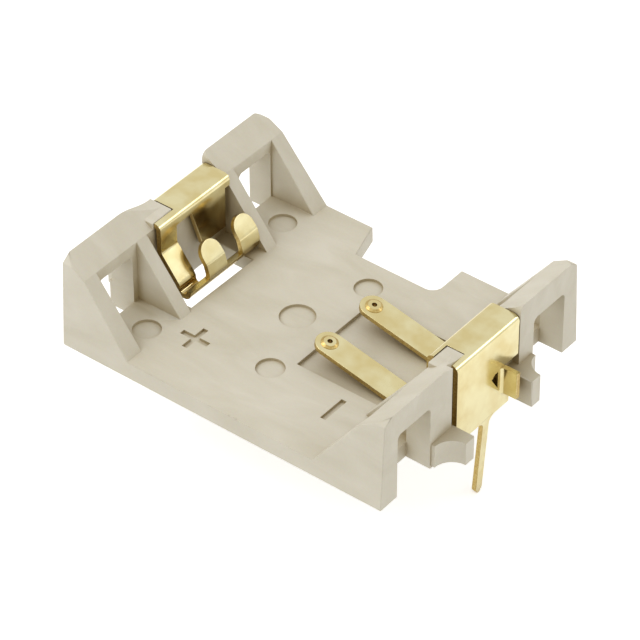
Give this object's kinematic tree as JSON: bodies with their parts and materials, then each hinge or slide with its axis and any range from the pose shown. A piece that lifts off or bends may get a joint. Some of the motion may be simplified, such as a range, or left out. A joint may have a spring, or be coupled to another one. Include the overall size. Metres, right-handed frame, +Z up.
{
  "type": "coin cell holder",
  "caption": "Moulded cradle for a button cell, with a spring clip, leaf springs and solder pins for a circuit board.",
  "frame": {"origin": "middle of the housing's underside, on the face of the circuit board", "axes": "+X from the positive clip towards the leaf springs, +Y from the plain front edge to the notched rear edge, +Z up away from the board"},
  "size_m": [0.0212, 0.015, 0.0098],
  "materials": {
    "housing_plastic": "moulded natural liquid crystal polymer",
    "contact_metal": "gold plated phosphor bronze sheet, bright"
  },
  "bodies": {
    "root": {"housing": "housing_plastic", "positive_contact": "contact_metal", "negative_contact": "contact_metal"}
  },
  "joints": []
}
